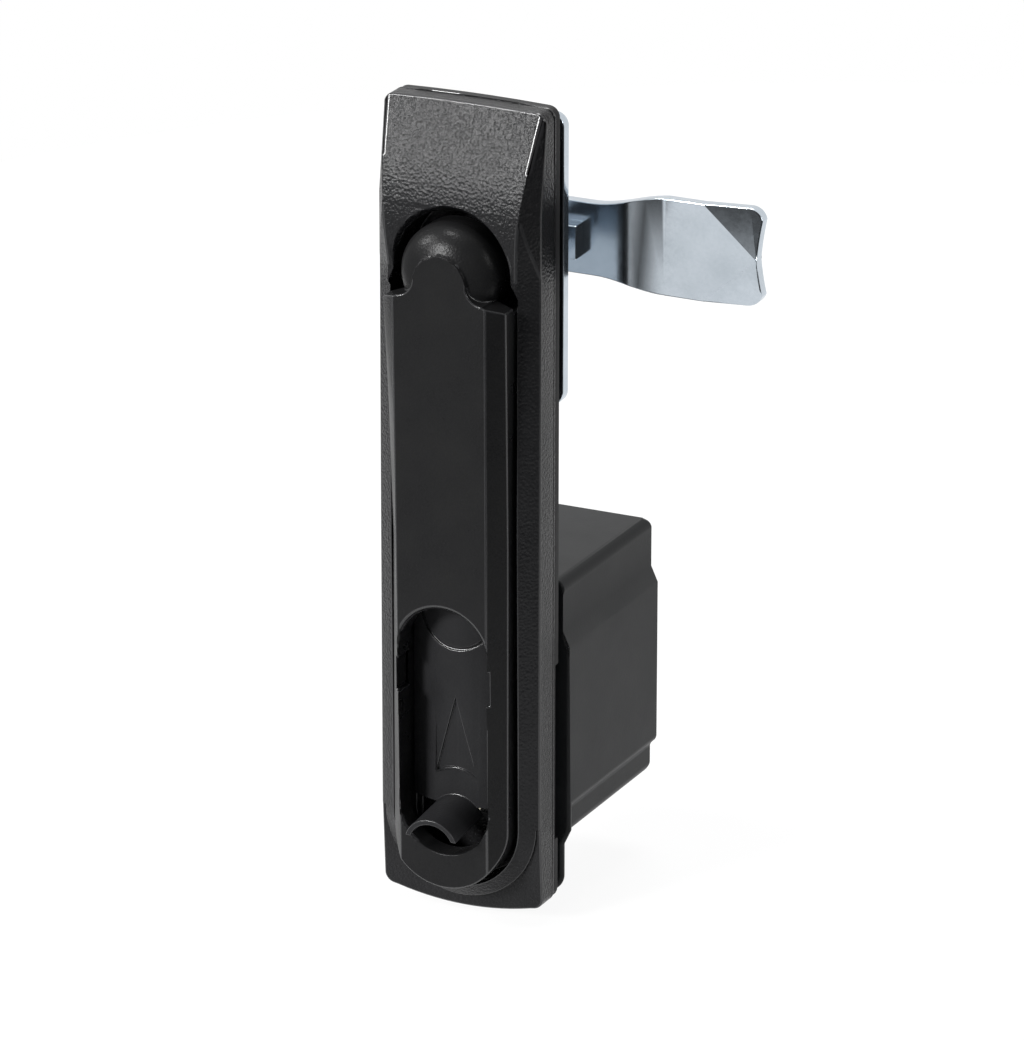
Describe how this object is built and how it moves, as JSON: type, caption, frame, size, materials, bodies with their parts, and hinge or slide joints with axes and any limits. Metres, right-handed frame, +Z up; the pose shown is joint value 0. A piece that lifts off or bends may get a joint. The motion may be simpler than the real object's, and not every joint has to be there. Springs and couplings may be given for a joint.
{
  "type": "swing-handle latch",
  "caption": "Black swing-handle cabinet latch with a sliding dust cover, profile half cylinder, rear lock housing and one turning cam.",
  "frame": {"origin": "centre of the dish on the face of the door, where the gasket lies", "axes": "+Z up along the handle, +Y into the door, +X to the viewer's right; the turning axis is at z = +55 mm"},
  "size_m": [0.0765, 0.0738, 0.182],
  "materials": {
    "dish_black": "fine leather grain, semi-gloss",
    "handle_black": "fine matt grain",
    "cover_black": "smooth satin",
    "housing_black": "smooth matt",
    "rubber": "matt",
    "zinc": "bright zinc-plated",
    "steel": "plated screws and pins",
    "nickel": "matt nickel-plated brass"
  },
  "bodies": {
    "base": {"dish": "dish_black", "gasket": "rubber", "receiver": "zinc", "spindle_sleeve": "zinc", "mounting_plate": "zinc", "plate_screw_top": "steel", "plate_screw_bottom": "steel", "cylinder_body": "nickel", "cylinder_screw": "steel", "lock_housing": "housing_black", "housing_screw": "steel", "lock_seal": "rubber"},
    "grip": {"handle": "handle_black", "pivot_pin": "steel", "catch_leg": "steel"},
    "cover": {"dust_cover": "cover_black"},
    "turning_set": {"spindle": "zinc", "cam_stop": "zinc", "cam": "zinc", "cam_washer": "steel", "cam_screw": "steel"},
    "plug_set": {"cylinder_plug": "nickel", "cylinder_bit": "steel"},
    "catch": {"catch_slide": "zinc"}
  },
  "joints": [
    {"name": "handle_lift", "type": "hinge", "parent": "base", "child": "grip", "pos_m": [0, -0.009, 0.055], "axis": [-1, 0, 0], "range_deg": [0, 25]},
    {"name": "cover_slide", "type": "slide", "parent": "grip", "child": "cover", "axis": [0, 0, 1], "range_m": [0, 0.035]},
    {"name": "spindle_turn", "type": "hinge", "parent": "base", "child": "turning_set", "pos_m": [0, 0.02, 0.055], "axis": [0, 1, 0], "range_deg": [0, 90]},
    {"name": "plug_turn", "type": "hinge", "parent": "base", "child": "plug_set", "pos_m": [0, 0.01, -0.0455], "axis": [0, -1, 0], "range_deg": [0, 90]},
    {"name": "catch_travel", "type": "slide", "parent": "base", "child": "catch", "axis": [0, 0, 1], "range_m": [0, 0.004]}
  ],
  "couplings": [
    {"joint": "plug_turn", "follows": "catch_travel", "rad_per_m": 392.69}
  ]
}
